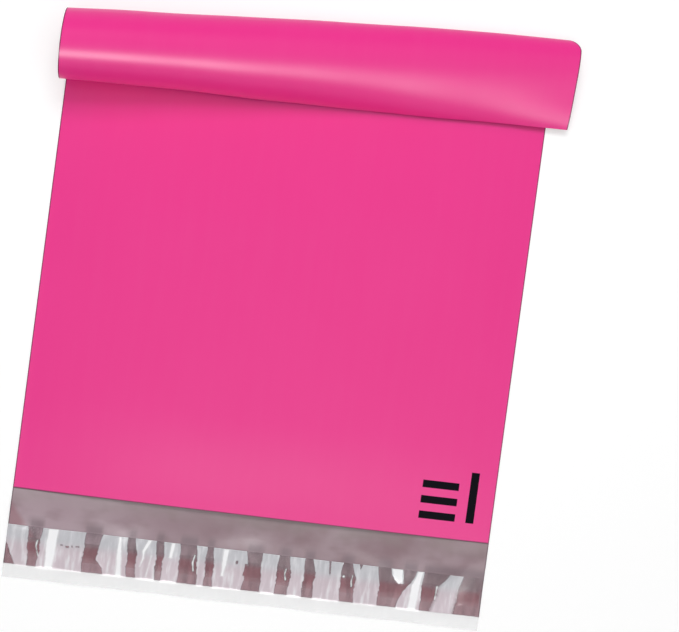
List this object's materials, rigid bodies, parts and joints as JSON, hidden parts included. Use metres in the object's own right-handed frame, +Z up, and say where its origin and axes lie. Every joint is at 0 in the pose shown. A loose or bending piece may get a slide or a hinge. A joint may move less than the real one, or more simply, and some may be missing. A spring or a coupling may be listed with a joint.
{
  "type": "poly mailer bag",
  "caption": "Flat poly film mailing bag with an adhesive lip under a release liner, lying with its closed end loosely rolled.",
  "frame": {"origin": "on the table, at the middle of the bag's footprint", "axes": "+X to the bag's right seen from the mouth, +Y from the mouth and lip towards the rolled closed end, +Z up from the table, out of the front wall"},
  "size_m": [0.3198, 0.383, 0.0428],
  "materials": {
    "film": "glossy pink outside, mauve grey inside",
    "adhesive": "tacky hot-melt",
    "liner": "clear release film"
  },
  "bodies": {
    "root": {"film_bag": "film", "adhesive_strip": "adhesive", "release_liner": "liner"}
  },
  "joints": []
}
